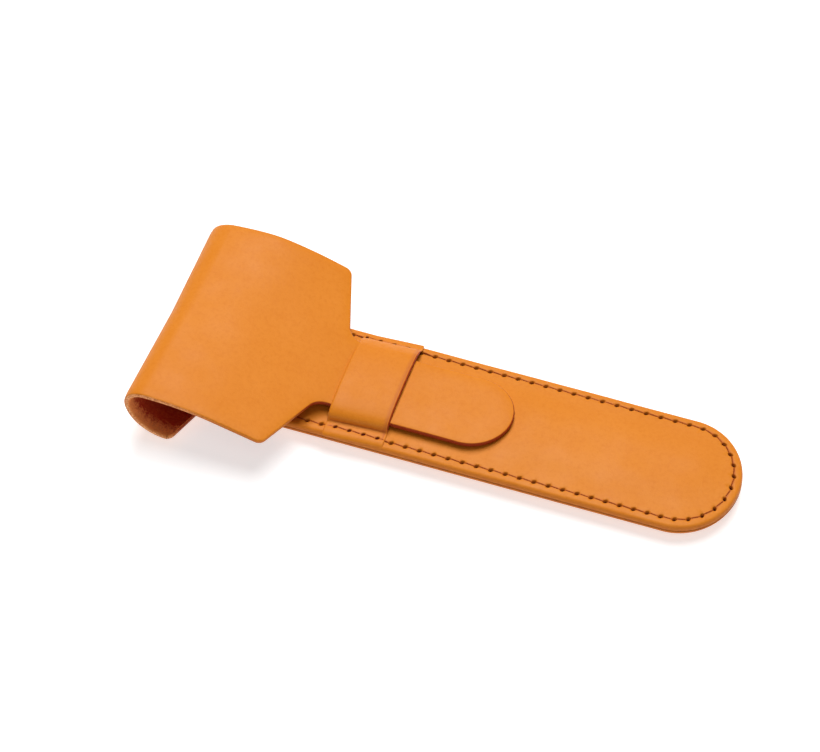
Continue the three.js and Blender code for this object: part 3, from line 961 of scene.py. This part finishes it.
def keeper_leather():
    x0, x1 = KEEPER_LOW[0] - KEEPER_WIDER, KEEPER_HIGH[0]
    far, near = KEEPER_RUN[-1], -KEEPER_RUN[0]
    corner = KEEPER_CORNER
    loop = np.concatenate([
        arc((x1 - corner, far - corner), corner, math.pi / 2, 0, 0.2),
        arc((x1 - corner, -near + corner), corner, 0, -math.pi / 2, 0.2),
        arc((x0 + corner, -near + corner), corner, -math.pi / 2, -math.pi, 0.2),
        arc((x0 + corner, far - corner), corner, math.pi, math.pi / 2, 0.2),
    ])
    loop = resample(np.concatenate([loop, loop[:1]]), 0.9)[:-1]
    sewn = HOLES[(HOLES[:, 0] > x0 + 0.5) & (HOLES[:, 0] < x1 - 0.5)]
    fold_b = np.interp(-KEEPER_ARCH_HALF, KEEPER_Y, KEEPER_RUN)

    def strap_place(x, y):
        return np.stack([x, np.interp(y - askew(x), KEEPER_Y, KEEPER_RUN)], 1)

    holes = strap_place(sewn[:, 0], sewn[:, 1])
    rows = [strap_place(np.linspace(x0 + 0.8, x1 - 0.8, 19), y) for y in (SEAM_Y, -SEAM_Y)]
    seam = np.concatenate([rows[0], rows[1][::-1]])

    def thick(b):
        past = np.where(b > 0, far, near) - np.abs(b)
        return KEEPER_FLANGE + (KEEPER_BRIDGE - KEEPER_FLANGE) * smooth((past - 5) / 4)

    def shaded_side(x, b):
        # painted shade on the keeper's right-hand cut edge where it crosses the arch
        under_arch = smooth((KEEPER_ARCH_HALF + 3 - abs(b)) / 3)
        return smooth((x - x1 + 1.5) / 0.5) * under_arch

    # painted shade along the keeper's near fold, at the foot of its arch
    def crease_shade(b):
        return np.exp(-((b - fold_b) / 0.4) ** 2)

    return sheet_mesh("keeper_leather", loop, on_keeper, lambda x, b: -thick(b) / 2,
                      lambda x, b: thick(b) / 2, grid=0.5, edge=0.65, seam=seam, holes=holes,
                      bevel=0.06, edge_shade=shaded_side, crease_shade=crease_shade)


def seam_heights():
    """Height of the surface that the front thread lies on, at each hole."""
    on_strap = (HOLES[:, 0] > KEEPER_LOW[0]) & (HOLES[:, 0] < KEEPER_HIGH[0])
    return np.where(on_strap, RIM_TOP + KEEPER_FLANGE - 0.1, RIM_TOP - 0.12)


# ---- put together --------------------------------------------------------------------------------

front = front_leather()
back = back_leather()
flap = flap_leather()
keeper = keeper_leather()
rolls = [roll_leather(i) for i in range(ROLL_PIECES)]
front_stitches = stitches("front_stitches", seam_heights(), STITCH_SINK, STITCH_STAND, 1)
back_heights = np.full(len(HOLES), RIM_BOTTOM + 0.12)
back_stitches = stitches("back_stitches", back_heights, STITCH_SINK, STITCH_STAND, -1)

for piece in (front, back, flap, keeper, *[r[0] for r in rolls]):
    piece.data.materials.append(LEATHER)

for piece, node in ((front, "front_panel"), (back, "back_panel"), (keeper, "keeper_loop"),
                    (front_stitches, "front_seam_thread"), (back_stitches, "back_seam_thread")):
    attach(piece, "sleeve")
    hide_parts(node)
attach(flap, "flap")
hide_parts("flap_panel", "closure_tongue")

for index, (piece, (s0, s1)) in enumerate(rolls):
    x, z, _ = hide_at(np.array([s0, s1]))
    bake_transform(piece)
    if index < ROLL_PIECES - 1:
        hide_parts(f"fold_slat_{index + 1}")

# ---- studio --------------------------------------------------------------------------------------

CAMERA_AZIMUTH = math.radians(15.56)
CAMERA_ELEVATION = math.radians(49.96)
CAMERA_ROLL = math.radians(3.01)
CAMERA_DISTANCE = 0.9644
CAMERA_TARGET = (-0.0144, 0.0076, 0.0064)
CAMERA_LENS = 153.66


def add_camera():
    a, e = CAMERA_AZIMUTH, CAMERA_ELEVATION
    level = Vector((math.cos(a), math.sin(a), 0))
    forward = Vector((-math.sin(a) * math.cos(e), math.cos(a) * math.cos(e), -math.sin(e)))
    up = level.cross(forward)
    right = math.cos(CAMERA_ROLL) * level + math.sin(CAMERA_ROLL) * up
    above = math.cos(CAMERA_ROLL) * up - math.sin(CAMERA_ROLL) * level
    camera = bpy.data.cameras.new("camera")
    camera.lens = CAMERA_LENS
    camera.clip_start = 0.01
    obj = bpy.data.objects.new("camera", camera)
    place = Matrix((right, above, -forward)).transposed().to_4x4()
    place.translation = Vector(CAMERA_TARGET) - CAMERA_DISTANCE * forward
    obj.matrix_world = place
    bpy.context.scene.collection.objects.link(obj)
    bpy.context.scene.camera = obj


def add_light(name, place, aim, size, power):
    light = bpy.data.lights.new(name, "AREA")
    light.shape = "DISK"
    light.size = size
    light.energy = power
    obj = bpy.data.objects.new(name, light)
    obj.location = place
    obj.rotation_euler = (Vector(aim) - Vector(place)).to_track_quat("-Z", "Y").to_euler()
    bpy.context.scene.collection.objects.link(obj)


FLOOR_Z = -0.0002
FLOOR_SIDES = 96
FLOOR_RISE = [(4.0, 0.0), (4.4, 0.06), (4.75, 0.25), (4.95, 0.6), (5.0, 1.5)]   # radius and height


def add_floor():
    """A round pale floor that sweeps up into a low wall, far out."""
    turns = np.linspace(0, 2 * math.pi, FLOOR_SIDES, endpoint=False)
    points = [(r * math.cos(turn), r * math.sin(turn), FLOOR_Z + z)
              for r, z in FLOOR_RISE for turn in turns]
    polys = [tuple(range(FLOOR_SIDES))]
    for ring in range(len(FLOOR_RISE) - 1):
        for i in range(FLOOR_SIDES):
            j = (i + 1) % FLOOR_SIDES
            a = ring * FLOOR_SIDES
            polys.append((a + i, a + FLOOR_SIDES + i, a + FLOOR_SIDES + j, a + j))
    mesh = bpy.data.meshes.new("floor")
    mesh.from_pydata(points, [], polys)
    mesh.shade_smooth()
    floor = bpy.data.objects.new("floor", mesh)
    bpy.context.scene.collection.objects.link(floor)
    n = Nodes("pale_floor")
    n.shader.inputs["Base Color"].default_value = (0.64, 0.64, 0.64, 1)
    n.shader.inputs["Roughness"].default_value = 0.9
    n.shader.inputs["Specular IOR Level"].default_value = 0.1
    n.shader.inputs["Emission Color"].default_value = (1, 1, 1, 1)
    n.shader.inputs["Emission Strength"].default_value = 0.6
    mesh.materials.append(n.material)
    floor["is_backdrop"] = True


def add_world():
    world = bpy.data.worlds.new("studio")
    world.use_nodes = True
    background = world.node_tree.nodes["Background"]
    background.inputs["Color"].default_value = (1.0, 1.0, 1.0, 1)
    background.inputs["Strength"].default_value = 0.05
    bpy.context.scene.world = world


add_camera()
add_floor()
add_world()
add_light("key", (-0.25, 0.60, 1.15), (0, 0, 0), 0.6, 12.4)
add_light("overhead", (0.04, 0.2, 1.3), (0, 0, 0), 0.7, 9.5)
add_light("near_fill", (0.15, -0.55, 0.95), (0, 0, 0), 0.5, 1.2)
bpy.context.scene.view_settings.view_transform = "Standard"

sizes = {"cad": cad_box, "visual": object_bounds()}
{key: [[float(v) for v in corner] for corner in pair] for key, pair in sizes.items()}
